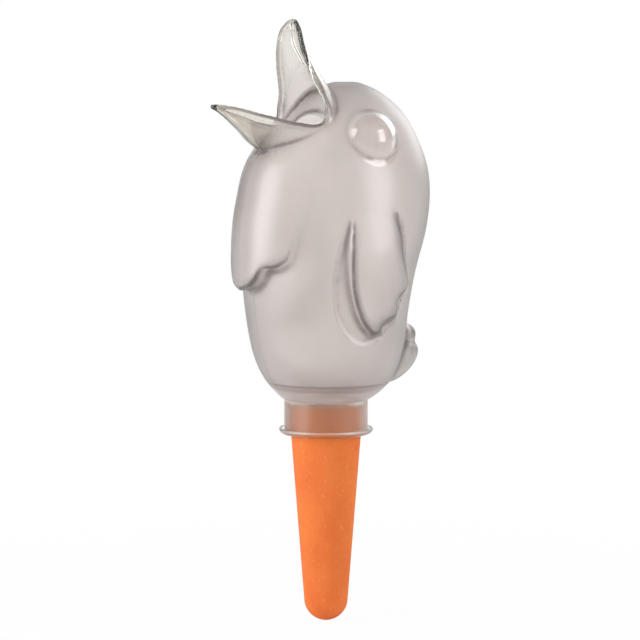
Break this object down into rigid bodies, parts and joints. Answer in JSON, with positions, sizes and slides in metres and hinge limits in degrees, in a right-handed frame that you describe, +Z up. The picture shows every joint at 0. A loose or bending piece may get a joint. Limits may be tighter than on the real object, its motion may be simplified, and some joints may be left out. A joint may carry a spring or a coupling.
{
  "type": "watering globe",
  "caption": "Bird-shaped clear plant waterer: an open beak fills the hollow body, which seeps water through a terracotta cone pushed into the soil.",
  "frame": {"origin": "on the clay cone's axis at the underside of the seal's lip, where the soil begins", "axes": "+Z up the cone's axis to the bird's head, -Y towards the beak, +X to the bird's left side"},
  "size_m": [0.082, 0.1084, 0.2718],
  "materials": {
    "vessel_plastic": "hazy clear moulded plastic with a glossy skin",
    "terracotta": "unglazed fired clay",
    "seal_rubber": "clear soft seal"
  },
  "bodies": {
    "spike": {"clay_cone": "terracotta", "seal_sleeve": "seal_rubber"},
    "vessel": {"left_shell": "vessel_plastic", "right_shell": "vessel_plastic"}
  },
  "joints": [
    {"name": "vessel_pull", "type": "slide", "parent": "spike", "child": "vessel", "axis": [0, 0, 1], "range_m": [0, 0.014]}
  ]
}
